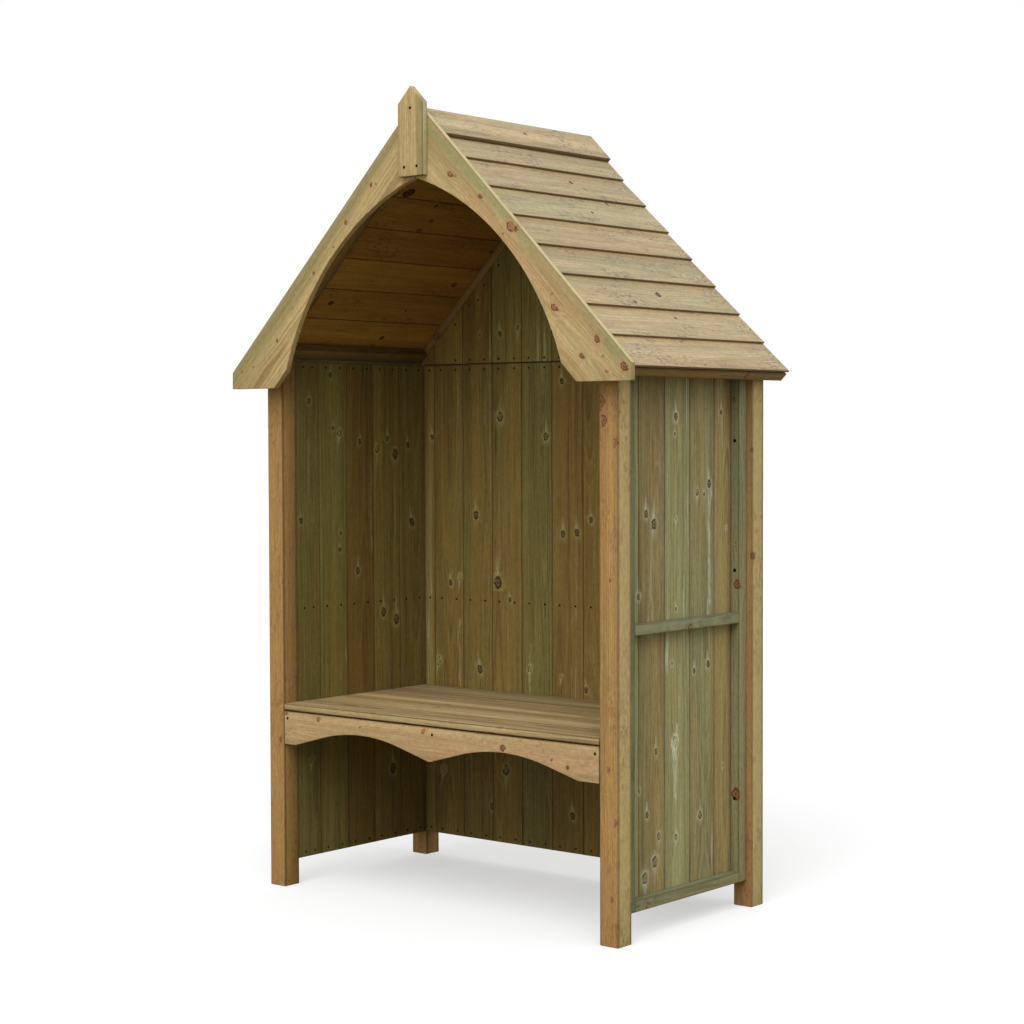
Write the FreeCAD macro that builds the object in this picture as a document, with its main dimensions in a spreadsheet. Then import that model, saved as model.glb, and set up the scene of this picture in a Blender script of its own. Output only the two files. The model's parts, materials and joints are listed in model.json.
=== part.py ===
import FreeCAD, Part
import math
import os
import re

import Sketcher

from FreeCAD import Placement, Rotation, Vector

# An arbour seat: a two-seat garden bench between boarded walls, under a steep boarded roof.
# Origin on the ground under the middle of the whole seat. X runs across, +Y to the back, +Z up.
# Sizes in millimetres. The right-hand pieces are built, and the left-hand ones mirror them.

SIZES = {
    # plan
    "clear_width": 1100.0,       # between the posts
    "clear_depth": 590.0,        # from the posts' front faces to the back wall
    "post_width": 56.0,          # square section
    # boarded panels of the walls
    "wall_bottom": 71.0,
    "wall_top": 1460.0,
    "board_thick": 12.0,
    "board_cover": 111.0,
    "board_bevel": 1.5,
    "back_first_board": 39.0,    # ripped board at the back wall's left end
    "frame_depth": 28.0,
    "stile_width": 36.0,
    "rail_height": 28.0,
    "mid_rail_top": 786.0,
    "top_rail_height": 56.0,     # before its top is cut to the roof's slope
    "panel_gap": 2.5,            # between the back wall's boards and the gable's
    # seat
    "seat_height": 512.0,
    "seat_thick": 18.0,
    "seat_boards": 5.0,
    "seat_gap": 2.0,
    "seat_clear": 1.0,           # at the ends of the seat boards and at the wall
    "bearer_width": 28.0,
    "bearer_height": 44.0,
    # apron
    "apron_height": 91.0,
    "apron_thick": 18.0,
    "apron_gap": 4.0,            # under the seat boards
    "apron_clear": 2.0,          # at each end
    "scallop_flat": 51.0,
    "scallop_shift": -12.0,
    "flank_run": 106.0,
    "flank_rise": 29.0,
    # roof
    "roof_pitch": 45.0,
    "roof_gap": 8.5,             # from the wall boards' tops up to the rafters' undersides
    "rafter_depth": 25.0,        # square to the slope
    "rafter_width": 36.0,
    "plate_width": 75.0,
    "front_overhang": 38.0,
    "back_overhang": 41.0,
    "eave_overhang": 46.0,
    "roof_board_thick": 12.0,
    "tongue_thick": 6.0,
    "roof_exposure": 110.0,
    "roof_lap": 12.0,
    "lap_clear": 1.5,
    "top_course_least": 100.0,
    "cap_reach": 76.0,
    "cap_thick": 12.0,
    # bargeboards and finial
    "barge_width": 148.5,
    "barge_thick": 18.0,
    "barge_proud": 23.5,         # above the roof boards
    "barge_tip": 81.0,           # beyond the posts
    "tip_height": 45.0,
    "arch_inset": 74.0,          # from the posts' inner faces to the foot of the arch
    "arch_radius": 733.0,
    "apex_depth": 199.0,         # from the bargeboards' apex down to the arch's
    "finial_width": 86.0,
    "finial_thick": 18.0,
    "finial_rise": 33.0,
    "finial_lift": 2.0,
    # nails and screws
    "nail_shank": 2.6,
    "nail_head": 5.0,
    "nail_head_thick": 1.2,
    "nail_length": 32.0,
    "nail_edge": 27.0,           # in from a board's edge
    "seam_nail": 14.0,           # above and below the seam at the top of the walls
    "finial_screw_rise": 26.0,   # above the arch's apex
    "back_bearer_screws": 4.0,
    "screw_shank": 4.0,
    "screw_head": 8.0,
    "screw_head_thick": 2.5,
    "screw_length": 35.0,
    "frame_screw_shank": 5.0,
    "frame_screw_head": 10.0,
    "frame_screw_head_thick": 3.0,
    "frame_screw_length": 58.0,
}

# Places that several pieces share, as formulas on the sheet's cells.
INNER = "(clear_width / 2)"
OUTER = "(clear_width / 2 + post_width)"
BOARD_BACK = "(clear_width / 2 + board_thick)"
FRAME_BACK = "(clear_width / 2 + board_thick + frame_depth)"
FRONT = ("(-(clear_depth + post_width + back_overhang"
         " - front_overhang - barge_thick - finial_thick) / 2)")
WALL = f"({FRONT} + clear_depth)"
WALL_FRAME = f"({WALL} + board_thick)"
WALL_BACK = f"({WALL} + board_thick + frame_depth)"
POST_BACK = f"({FRONT} + post_width)"
ROOF_FRONT = f"({FRONT} - front_overhang)"
ROOF_BACK = f"({WALL} + post_width + back_overhang)"
RIDGE = ("(wall_top + roof_gap + tan(roof_pitch) * (clear_width / 2 + board_thick)"
         " + rafter_depth / cos(roof_pitch))")
EAVE = "((clear_width / 2 + post_width + eave_overhang) / cos(roof_pitch))"
ROOM = "(2 * clear_width + 2 * clear_depth)"
SEAT_UNDER = "(seat_height - seat_thick)"
BEARER_UNDER = f"({SEAT_UNDER} - bearer_height)"
BEARER_SIDE = f"({INNER} - bearer_width)"
APRON_BACK = f"({FRONT} + apron_thick)"
GABLE_RAIL_UNDER = "(-rafter_depth - stile_width)"
PAST_RIDGE = "(-4 * roof_board_thick)"
STILE_SIDE = f"({INNER} - stile_width)"
RAFTER = ("(-rafter_depth)", "0")
EAVE_RAIL = (f"({EAVE} - rafter_width)", EAVE)
BOTTOM_RAIL = ("wall_bottom", "(wall_bottom + rail_height)")
MID_RAIL = ("(mid_rail_top - rail_height)", "mid_rail_top")
APEX = f"({RIDGE} + (roof_board_thick + barge_proud) / cos(roof_pitch))"
TIP = "(clear_width / 2 + post_width + barge_tip)"
TIP_LOW = f"({APEX} - {TIP} * tan(roof_pitch) - tip_height)"
ARCH_FOOT = "(clear_width / 2 - arch_inset)"
ARCH_APEX = f"({APEX} - apex_depth)"

ALIAS = re.compile(r"\b(" + "|".join(SIZES) + r")\b")
ACROSS, BACKWARD, UP = Vector(1, 0, 0), Vector(0, 1, 0), Vector(0, 0, 1)

doc = FreeCAD.newDocument("ArbourSeat")
sheet = doc.addObject("Spreadsheet::Sheet", "Sizes")
nodes = {}


def fill_sheet():
    """Write each driving size into its own named cell."""
    for row, (alias, value) in enumerate(SIZES.items(), start=1):
        sheet.set(f"A{row}", alias)
        sheet.set(f"B{row}", str(value))
        sheet.setAlias(f"B{row}", alias)
    doc.recompute()


def cells(formula):
    """The formula with each size's name turned into its cell."""
    return ALIAS.sub(r"Sizes.\1", str(formula))


def size(formula):
    """The formula's value, in millimetres or degrees."""
    result = sheet.evalExpression(cells(formula))
    return float(getattr(result, "Value", result))


def bind(thing, **formulas):
    """Tie properties to formulas. Two underlines stand for a dot in a property's path."""
    for name, formula in formulas.items():
        thing.setExpression(name.replace("__", "."), cells(formula))


def keep(label, thing):
    """Make a sub-part of an object, under its node's name."""
    thing.Label = label
    nodes[label] = thing
    return thing


def bar(name, across, along, height):
    """A straight timber between its faces in X, Y and Z."""
    box = doc.addObject("Part::Box", name)
    bind(box, Length=f"{across[1]} - {across[0]}", Width=f"{along[1]} - {along[0]}",
         Height=f"{height[1]} - {height[0]}")
    bind(box, Placement__Base__x=across[0], Placement__Base__y=along[0],
         Placement__Base__z=height[0])
    return box


def slope_bar(name, down, along, out):
    """A timber on the right slope: from and to, down from the ridge, in Y and out of the slope."""
    box = doc.addObject("Part::Box", name)
    bind(box, Length=f"{down[1]} - {down[0]}", Width=f"{along[1]} - {along[0]}",
         Height=f"{out[1]} - {out[0]}")
    lay_on_slope(box, down[0], along[0], out[0])
    return box


def lay_on_slope(thing, down, along, out):
    """Turn an object to the right slope, its corner at a place on it."""
    thing.Placement = Placement(Vector(0, 0, 0), Rotation(BACKWARD, 45))
    bind(thing, Placement__Rotation__Angle="roof_pitch",
         Placement__Base__x=f"{down} * cos(roof_pitch) + {out} * sin(roof_pitch)",
         Placement__Base__y=along,
         Placement__Base__z=f"{RIDGE} - {down} * sin(roof_pitch) + {out} * cos(roof_pitch)")


def cut(name, base, *tools):
    """The base less each of the tools."""
    for number, tool in enumerate(tools):
        piece = doc.addObject("Part::Cut", f"{name}_cut{number}")
        piece.Base = base
        piece.Tool = tool
        base = piece
    return base


def group(name, pieces):
    """Separate solids in one node."""
    compound = doc.addObject("Part::Compound", name)
    compound.Links = pieces
    return compound


def mirror(name, source):
    """The left-hand twin of a right-hand object."""
    twin = doc.addObject("Part::Mirroring", name)
    twin.Source = source
    twin.Normal = ACROSS
    twin.Base = Vector(0, 0, 0)
    return twin


def keep_pair(label, thing, *tools):
    """Keep a right-hand piece, drilled by the tools, and its left-hand twin."""
    right = cut(label + "_drilled", thing, *tools)
    keep("right_" + label, right)
    keep("left_" + label, mirror("left_" + label, right))


def keep_two(label, thing, *tools):
    """Keep a right-hand piece and its left-hand twin, each drilled where its own fixings are."""
    keep("right_" + label, cut(label + "_drilled", thing, *tools))
    keep("left_" + label, cut("left_" + label + "_drilled", mirror("left_" + label, thing), *tools))


def eased(name, board):
    """A board with small bevels along its four upright edges."""
    doc.recompute()
    bevel = size("board_bevel")
    upright = [number for number, edge in enumerate(board.Shape.Edges, start=1)
               if abs(edge.tangentAt(edge.FirstParameter).z) > 0.9]
    piece = doc.addObject("Part::Chamfer", name)
    piece.Base = board
    piece.Edges = [(number, bevel, bevel) for number in upright]
    return piece


def outline_sketch(body, name, corners, arcs=None):
    """A closed outline through corners given as formulas, some of its sides as arcs.

    arcs maps a side's number to its radius formula and the way it bows."""
    sketch = body.newObject("Sketcher::SketchObject", name)
    plane = next(item for item in body.Origin.OriginFeatures if item.Role == "XZ_Plane")
    sketch.AttachmentSupport = (plane, "")
    sketch.MapMode = "FlatFace"
    points = [Vector(size(x), size(y), 0) for x, y in corners]
    for side, start in enumerate(points):
        end = points[(side + 1) % len(points)]
        if arcs and side in arcs:
            radius, bow = size(arcs[side][0]), arcs[side][1]
            chord = end - start
            rise = radius - math.sqrt(radius ** 2 - chord.Length ** 2 / 4)
            middle = (start + end) / 2 + Vector(-chord.y, chord.x, 0).normalize() * rise * bow
            sketch.addGeometry(Part.Arc(start, middle, end), False)
        else:
            sketch.addGeometry(Part.LineSegment(start, end), False)
    for side, corner in enumerate(corners):
        first = first_end(sketch, side, points[side])
        previous = (side - 1) % len(points)
        last = 3 - first_end(sketch, previous, points[previous])
        sketch.addConstraint(Sketcher.Constraint("Coincident", previous, last, side, first))
        for kind, formula in zip(("DistanceX", "DistanceY"), corner):
            number = sketch.addConstraint(
                Sketcher.Constraint(kind, -1, 1, side, first, size(formula)))
            sketch.setExpression(f"Constraints[{number}]", cells(formula))
    for side, (radius, _) in (arcs or {}).items():
        number = sketch.addConstraint(Sketcher.Constraint("Radius", side, size(radius)))
        sketch.setExpression(f"Constraints[{number}]", cells(radius))
    return sketch


def first_end(sketch, side, point):
    """Which end of a side, 1 or 2, lies at a point: an arc may run the other way."""
    start = sketch.getPoint(side, 1)
    return 1 if start.distanceToPoint(point) < 0.001 else 2


def sawn(name, corners, thick, arcs=None):
    """A board sawn to an outline in the XZ plane, its thickness running to -Y from its origin."""
    body = doc.addObject("PartDesign::Body", name)
    sketch = outline_sketch(body, name + "_outline", corners, arcs)
    pad = body.newObject("PartDesign::Pad", name + "_pad")
    pad.Profile = sketch
    bind(pad, Length=thick)
    return body


def fixing(shank, head, head_thick, length):
    """A nail or screw with its head's face at the origin, driven along +Z."""
    stem = Part.makeCylinder(shank / 2, length)
    return stem.fuse(Part.makeCylinder(head / 2, head_thick))


def fixings(name, kind, places):
    """Identical fixings as one node: each place is a point and the way that it is driven."""
    one = fixing(*(size(f"{kind}_{part}") for part in ("shank", "head", "head_thick", "length")))
    copies = []
    for point, way in places:
        copy = one.copy()
        copy.Placement = Placement(point, Rotation(UP, way))
        copies.append(copy)
    feature = doc.addObject("Part::Feature", name)
    feature.Shape = Part.makeCompound(copies)
    return feature


def nail_lines(edges):
    """Where a run of boards is nailed: near both edges of a board, once in a narrow one."""
    inset = size("nail_edge")
    narrow = size("board_cover - nail_edge")
    lines = []
    for low, high in edges:
        low, high = size(low), size(high)
        if high - low < narrow:
            lines.append((low + high) / 2)
        else:
            lines += [low + inset, high - inset]
    return lines


def side_board_edges():
    """The side wall's boards from the back, the last one ripped to fit."""
    count = math.ceil(size(f"({WALL} - {POST_BACK}) / board_cover"))
    edges = [(f"({WALL} - {number + 1} * board_cover)", f"({WALL} - {number} * board_cover)")
             for number in range(count)]
    edges[-1] = (POST_BACK, edges[-1][1])
    return edges


def back_board_edges():
    """The back wall's boards from the left, ripped at both ends."""
    seams = [f"(-{INNER})", f"(-{INNER} + back_first_board)"]
    while size(f"{INNER} - {seams[-1]} - board_cover") > 0:
        seams.append(f"(-{INNER} + back_first_board + {len(seams) - 1} * board_cover)")
    seams.append(INNER)
    return list(zip(seams[:-1], seams[1:]))


def rail_middles():
    """Heights of the nails in the bottom, middle and top rails."""
    return [size("wall_bottom + rail_height / 2"), size("mid_rail_top - rail_height / 2"),
            size("wall_top - seam_nail")]


def roof_tools():
    """The room above the right and left rafters' undersides, and all that lies left of the middle."""
    above = slope_bar("above_right_slope", (f"(-{ROOM})", ROOM), (f"(-{ROOM})", ROOM),
                      ("(-rafter_depth)", ROOM))
    left = bar("left_half", (f"(-{ROOM})", "0"), (f"(-{ROOM})", ROOM), (f"(-{ROOM})", f"(2 * {ROOM})"))
    return above, mirror("above_left_slope", above), left


def build_posts(above):
    """Four square posts, cut to the slope at the top."""
    for label, low, high in (("front_post", FRONT, POST_BACK),
                             ("rear_post", WALL, f"({WALL} + post_width)")):
        post = bar(label + "_blank", (INNER, OUTER), (low, high), ("0", RIDGE))
        yield label, cut(label, post, above)


def build_side_frame(above):
    """Stiles and rails between the front and rear posts."""
    depth = (BOARD_BACK, FRAME_BACK)
    front = (POST_BACK, f"({POST_BACK} + stile_width)")
    rear = (f"({WALL} - stile_width)", WALL)
    between = (front[1], rear[0])
    upright = ("wall_bottom", RIDGE)
    top_rail = ("(wall_top - top_rail_height)", RIDGE)
    yield "side_front_stile", cut("front_stile", bar("front_stile_blank", depth, front, upright), above)
    yield "side_rear_stile", cut("rear_stile", bar("rear_stile_blank", depth, rear, upright), above)
    yield "side_bottom_rail", bar("side_bottom_rail", depth, between, BOTTOM_RAIL)
    yield "side_mid_rail", bar("side_mid_rail", depth, between, MID_RAIL)
    yield "side_top_rail", cut("top_rail", bar("top_rail_blank", depth, between, top_rail), above)


def build_side_boards():
    """The side wall's upright boards."""
    boards = []
    for number, edges in enumerate(side_board_edges()):
        blank = bar(f"side_blank{number}", (INNER, BOARD_BACK), edges, ("wall_bottom", "wall_top"))
        boards.append(eased(f"side_board{number}", blank))
    return group("side_boards", boards)


def side_nails():
    """Nails through the side wall's boards into its rails."""
    face = size(INNER)
    return fixings("side_nails", "nail", [(Vector(face, y, z), ACROSS)
                                          for y in nail_lines(side_board_edges())
                                          for z in rail_middles()])


def stile_screw_heights():
    """Heights of the screws that hold a panel's stile to its post."""
    return [size("wall_bottom + 2 * board_cover"), size("mid_rail_top + board_cover"),
            size("wall_top - 2 * board_cover")]


def side_screws():
    """Screws through the right side stiles into the posts."""
    middle = size(f"({BOARD_BACK} + {FRAME_BACK}) / 2")
    front, rear = size(f"{POST_BACK} + stile_width"), size(f"{WALL} - stile_width")
    return ([(Vector(middle, front, z), -BACKWARD) for z in stile_screw_heights()]
            + [(Vector(middle, rear, z), BACKWARD) for z in stile_screw_heights()])


def build_back_stile():
    """The back wall's right stile."""
    return bar("back_stile", (STILE_SIDE, INNER), (WALL_FRAME, WALL_BACK), ("wall_bottom", "wall_top"))


def build_back_rails():
    """The back wall's rails between its stiles."""
    heights = {"back_bottom_rail": BOTTOM_RAIL, "back_mid_rail": MID_RAIL,
               "back_top_rail": ("(wall_top - rail_height)", "wall_top")}
    for label, height in heights.items():
        yield label, bar(label, (f"(-{STILE_SIDE})", STILE_SIDE), (WALL_FRAME, WALL_BACK), height)


def back_boards(name, low, high):
    """A run of upright boards across the back, between two heights."""
    boards = []
    for number, edges in enumerate(back_board_edges()):
        blank = bar(f"{name}_blank{number}", edges, (WALL, WALL_FRAME), (low, high))
        boards.append(eased(f"{name}{number}", blank))
    return group(name + "s", boards)


def build_gable_diagonal(left):
    """The gable frame's right slope rail, cut at the middle, the back wall's top and the post."""
    under = bar("under_gable", (f"(-{ROOM})", ROOM), (f"(-{ROOM})", ROOM), (f"(-{ROOM})", "wall_top"))
    beyond = bar("beyond_posts", (INNER, ROOM), (f"(-{ROOM})", ROOM), (f"(-{ROOM})", ROOM))
    rail = slope_bar("gable_diagonal_blank", (f"(-{ROOM})", EAVE), (WALL_FRAME, WALL_BACK),
                     (GABLE_RAIL_UNDER, "(-rafter_depth)"))
    return cut("gable_diagonal", rail, left, under, beyond)


def build_gable_base():
    """The gable frame's bottom rail, cut to fit between the slope rails."""
    inside = slope_bar("above_gable_rail", (f"(-{ROOM})", ROOM), (f"(-{ROOM})", ROOM),
                       (GABLE_RAIL_UNDER, ROOM))
    rail = bar("gable_base_blank", (f"(-{INNER})", INNER), (WALL_FRAME, WALL_BACK),
               ("wall_top", "(wall_top + rail_height)"))
    return cut("gable_base", rail, inside, mirror("above_gable_rail_left", inside))


def build_gable_boards(above, above_left):
    """The gable's boards, cut to both slopes under the gable rafters."""
    boards = back_boards("gable_board", "(wall_top + panel_gap)", RIDGE)
    return cut("gable_boards", boards, above, above_left)


def back_nails():
    """Nails through the back wall's and the gable's boards into their rails."""
    lines = nail_lines(back_board_edges())
    face, ridge, pitch = size(WALL), size(RIDGE), math.radians(size("roof_pitch"))
    base = size("wall_top + seam_nail")
    drop = size("rafter_depth + stile_width / 2") / math.cos(pitch)
    clear = size("2 * rail_height")
    places = [(x, z) for x in lines for z in rail_middles()]
    for x in lines:
        under_rafter = ridge - drop - abs(x) * math.tan(pitch)
        if under_rafter > base + clear:
            places += [(x, base), (x, under_rafter)]
    return fixings("back_nails", "nail", [(Vector(x, face, z), BACKWARD) for x, z in places])


def back_screws():
    """Screws through the back stiles into the rear posts."""
    side = size(STILE_SIDE)
    middle = size(f"({WALL_FRAME} + {WALL_BACK}) / 2")
    return [(Vector(side * way, middle, z), ACROSS * way)
            for z in stile_screw_heights() for way in (1, -1)]


def rafter_places():
    """The front, gable and verge rafters, each from its front to its back face."""
    return {
        "front_rafter": (ROOF_FRONT, f"({ROOF_FRONT} + rafter_width)"),
        "gable_rafter": (WALL, f"({WALL} + rafter_width)"),
        "verge_rafter": (f"({ROOF_BACK} - rafter_width)", ROOF_BACK),
    }


def build_rafters(left):
    """The right slope's rafters, cut at the middle."""
    for label, along in rafter_places().items():
        rafter = slope_bar(label + "_blank", (f"(-{ROOM})", EAVE_RAIL[0]), along, RAFTER)
        yield label, cut(label, rafter, left)


def build_eave_rail():
    """The rail along the eave, at the rafters' feet."""
    return slope_bar("eave_rail", EAVE_RAIL, (ROOF_FRONT, ROOF_BACK), RAFTER)


def build_wall_plate():
    """The board under the roof boards that sits on the side wall's frame."""
    foot = f"(({FRAME_BACK} + rafter_depth * sin(roof_pitch)) / cos(roof_pitch))"
    places = rafter_places()
    return slope_bar("wall_plate", (f"({foot} - plate_width)", foot),
                     (places["front_rafter"][1], places["gable_rafter"][0]), RAFTER)


def course_edges():
    """Lower edges of the roof's courses, from the eave to the top one."""
    count = int(size(f"({EAVE} - top_course_least) / roof_exposure"))
    return [f"({EAVE} - {number} * roof_exposure)" for number in range(count + 1)]


def build_roof_boards(left):
    """Rebated weatherboards that lap each other, and a plain top course."""
    length = f"({ROOF_BACK} - {ROOF_FRONT})"
    edges = course_edges()
    boards = []
    for number, low in enumerate(edges):
        corners = [(low, "tongue_thick"), (low, "roof_board_thick")]
        if low == edges[-1]:
            corners += [(PAST_RIDGE, "roof_board_thick"), (PAST_RIDGE, "0")]
        else:
            upper = f"({low} - roof_exposure - roof_lap)"
            corners += [(f"({low} - roof_exposure)", "tongue_thick"), (upper, "tongue_thick"), (upper, "0")]
        lapped = f"({low} - roof_lap - lap_clear)"
        corners += [(lapped, "0"), (lapped, "tongue_thick")]
        board = sawn(f"roof_board{number}", corners, length)
        lay_on_slope(board, "0", ROOF_BACK, "0")
        boards.append(board)
    boards[-1] = cut("top_course", boards[-1], left)
    return group("slope_boards", boards)


def build_ridge_cap(left):
    """The board over the top course, meeting its twin at the ridge."""
    cap = slope_bar("ridge_cap_blank", (f"(-{ROOM})", "cap_reach"), (ROOF_FRONT, ROOF_BACK),
                    ("roof_board_thick", "(roof_board_thick + cap_thick)"))
    return cut("ridge_cap", cap, left)


def on_slope(down, along, out):
    """The point of the right slope at a distance down from the ridge, in Y and out of it."""
    pitch = math.radians(size("roof_pitch"))
    return Vector(down * math.cos(pitch) + out * math.sin(pitch), along,
                  size(RIDGE) - down * math.sin(pitch) + out * math.cos(pitch))


def roof_nails():
    """Two nails through each course, and through the cap, into each rafter."""
    thick, tongue = size("roof_board_thick"), size("tongue_thick")
    exposure, inset = size("roof_exposure"), size("nail_edge")
    edges = [size(edge) for edge in course_edges()]
    into = on_slope(0, 0, -1) - on_slope(0, 0, 0)
    places = []
    for low, high in rafter_places().values():
        along = (size(low) + size(high)) / 2
        for edge in edges[:-1]:
            for up in (inset, exposure - inset):
                surface = thick - (thick - tongue) * up / exposure
                places.append((on_slope(edge - up, along, surface), into))
        places.append((on_slope(edges[-1] - inset, along, thick), into))
        for down in (size("cap_reach") - inset / 2, inset):
            places.append((on_slope(down, along, size("roof_board_thick + cap_thick")), into))
    return fixings("roof_nails", "nail", places)


def build_bargeboard():
    """The right bargeboard: a wide board with the arch sawn out of its lower edge."""
    edge_low = f"({APEX} - barge_width / cos(roof_pitch))"
    corners = [
        ("0", APEX),
        (TIP, f"({APEX} - {TIP} * tan(roof_pitch))"),
        (TIP, TIP_LOW),
        (f"(({edge_low} - {TIP_LOW}) / tan(roof_pitch))", TIP_LOW),
        (ARCH_FOOT, f"({edge_low} - {ARCH_FOOT} * tan(roof_pitch))"),
        ("0", ARCH_APEX),
    ]
    board = sawn("bargeboard", corners, "barge_thick", {4: ("arch_radius", -1)})
    bind(board, Placement__Base__y=ROOF_FRONT)
    return board


def build_finial():
    """The pointed upright board over the bargeboards' joint."""
    half = "(finial_width / 2)"
    top = f"({APEX} + finial_rise)"
    low = f"({ARCH_APEX} + finial_lift)"
    shoulder = f"({top} - {half} * tan(roof_pitch))"
    corners = [(f"(-{half})", low), (half, low), (half, shoulder), ("0", top), (f"(-{half})", shoulder)]
    board = sawn("finial_board", corners, "finial_thick")
    bind(board, Placement__Base__y=f"{ROOF_FRONT} - barge_thick")
    return board


def trim_screws():
    """Screws of the finial, the bargeboards, the apron and the seat's bearers."""
    face = size(f"{ROOF_FRONT} - barge_thick - finial_thick")
    grip = size("finial_width / 4")
    places = [(Vector(0, face, size(f"{APEX} - finial_lift") - grip), BACKWARD)]
    low = size(f"{ARCH_APEX} + finial_screw_rise")
    places += [(Vector(x, face, low), BACKWARD) for x in (grip, -grip)]
    barge_face = size(f"{ROOF_FRONT} - barge_thick")
    edges = [size(edge) for edge in course_edges()]
    for edge in edges[:-1:2]:
        spot = on_slope(edge - size("roof_exposure / 2"), barge_face, -size("rafter_depth / 2"))
        places += [(spot, BACKWARD), (Vector(-spot.x, spot.y, spot.z), BACKWARD)]
    bearer = size(f"{INNER} - bearer_width / 2")
    level = size(f"{SEAT_UNDER} - bearer_height / 2")
    places += [(Vector(x, size(FRONT), level), BACKWARD) for x in (-bearer, 0, bearer)]
    side = size(BEARER_SIDE)
    for _, back in seat_board_edges()[:-1]:
        places += [(Vector(side * way, size(back), level), ACROSS * way) for way in (1, -1)]
    count = int(size("back_bearer_screws"))
    for number in range(count):
        along = side * ((2 * number + 1) / count - 1)
        places.append((Vector(along, size(f"{WALL} - bearer_width"), level), BACKWARD))
    return fixings("trim_screws", "screw", places)


def seat_board_edges():
    """Front and back of each seat board."""
    width = "((clear_depth - seat_clear - (seat_boards - 1) * seat_gap) / seat_boards)"
    return [(f"({FRONT} + {number} * ({width} + seat_gap))",
             f"({FRONT} + {number} * ({width} + seat_gap) + {width})")
            for number in range(int(size("seat_boards")))]


def build_seat_boards():
    """The boards to sit on, along the seat from front to back."""
    ends = (f"(-{INNER} + seat_clear)", f"({INNER} - seat_clear)")
    return [bar(f"seat_board_{number}", ends, edges, (SEAT_UNDER, "seat_height"))
            for number, edges in enumerate(seat_board_edges(), start=1)]


def build_side_bearer():
    """The bearer on the right wall."""
    return bar("side_bearer", (BEARER_SIDE, INNER), (APRON_BACK, WALL), (BEARER_UNDER, SEAT_UNDER))


def build_back_bearer():
    """The bearer on the back wall, between the side ones."""
    return bar("back_bearer", (f"(-{BEARER_SIDE})", BEARER_SIDE), (f"({WALL} - bearer_width)", WALL),
               (BEARER_UNDER, SEAT_UNDER))


def build_middle_bearer():
    """The bearer across the middle, from the apron to the back bearer."""
    return bar("middle_bearer", ("(-bearer_width / 2)", "(bearer_width / 2)"),
               (APRON_BACK, f"({WALL} - bearer_width)"), (BEARER_UNDER, SEAT_UNDER))


def build_apron():
    """The board under the seat's front edge, with two scallops that meet in a point."""
    end = f"({INNER} - apron_clear)"
    half = f"({end} - scallop_flat)"
    top = f"({SEAT_UNDER} - apron_gap)"
    low = f"({top} - apron_height)"
    flank = f"({low} + flank_rise)"
    radius = f"(({half} / 2 - flank_run) * sqrt(flank_run ^ 2 + flank_rise ^ 2) / flank_rise)"
    corners = [
        (f"(-{end})", low),
        (f"(scallop_shift - {half})", low),
        (f"(scallop_shift - {half} + flank_run)", flank),
        ("(scallop_shift - flank_run)", flank),
        ("scallop_shift", low),
        ("(scallop_shift + flank_run)", flank),
        (f"(scallop_shift + {half} - flank_run)", flank),
        (f"(scallop_shift + {half})", low),
        (end, low),
        (end, top),
        (f"(-{end})", top),
    ]
    board = sawn("apron_board", corners, "apron_thick", {2: (radius, 1), 5: (radius, 1)})
    bind(board, Placement__Base__y=APRON_BACK)
    return board


def seat_screws():
    """Screws from under the bearers up into the seat boards."""
    low, bearer = size(BEARER_UNDER), size(f"{INNER} - bearer_width / 2")
    return [(Vector(x, (size(front) + size(back)) / 2, low), UP)
            for front, back in seat_board_edges() for x in (-bearer, 0, bearer)]


def frame_screws():
    """The long screws of the panels and the seat, those of the right side wall also on the left."""
    left = [(Vector(-point.x, point.y, point.z), way) for point, way in side_screws()]
    return fixings("frame_screws", "frame_screw", side_screws() + left + back_screws() + seat_screws())


def build():
    """Make every sub-part, drilled for its fixings, and keep it under its name."""
    fill_sheet()
    above, above_left, left = roof_tools()
    side, back, roof, trim = side_nails(), back_nails(), roof_nails(), trim_screws()
    frame = frame_screws()

    for label, piece in build_posts(above):
        keep_pair(label, piece, frame)
    for label, piece in build_side_frame(above):
        keep_pair(label, piece, side, frame)
    keep_pair("wall_boards", build_side_boards(), side, trim)
    keep_two("back_stile", build_back_stile(), back, frame)
    for label, piece in build_back_rails():
        keep(label, cut(label + "_drilled", piece, back))
    wall = back_boards("back_board", "wall_bottom", "wall_top")
    keep("back_wall_boards", cut("back_boards_drilled", wall, back, trim))
    keep_two("gable_diagonal", build_gable_diagonal(left), back)
    keep("gable_base_rail", cut("gable_base_drilled", build_gable_base(), back))
    keep("gable_boards", cut("gable_boards_drilled", build_gable_boards(above, above_left), back))

    for label, piece in build_rafters(left):
        keep_pair(label, piece, roof, trim)
    keep_pair("eave_rail", build_eave_rail(), roof)
    keep_pair("wall_plate", build_wall_plate())
    keep_pair("roof_boards", build_roof_boards(left), roof)
    keep_pair("ridge_cap", build_ridge_cap(left), roof)
    keep_pair("bargeboard", build_bargeboard(), trim)
    keep("finial", cut("finial_drilled", build_finial(), trim))

    for number, board in enumerate(build_seat_boards(), start=1):
        keep(f"seat_board_{number}", cut(f"seat_board_{number}_drilled", board, frame))
    keep_pair("side_bearer", build_side_bearer(), trim, frame)
    keep("back_bearer", cut("back_bearer_drilled", build_back_bearer(), trim))
    keep("middle_bearer", cut("middle_bearer_drilled", build_middle_bearer(), trim, frame))
    keep("apron", cut("apron_drilled", build_apron(), trim))

    keep_pair("wall_nails", side)
    keep_pair("roof_nails", roof)
    keep("back_wall_nails", back)
    keep("trim_screws", trim)
    keep("frame_screws", frame)


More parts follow.
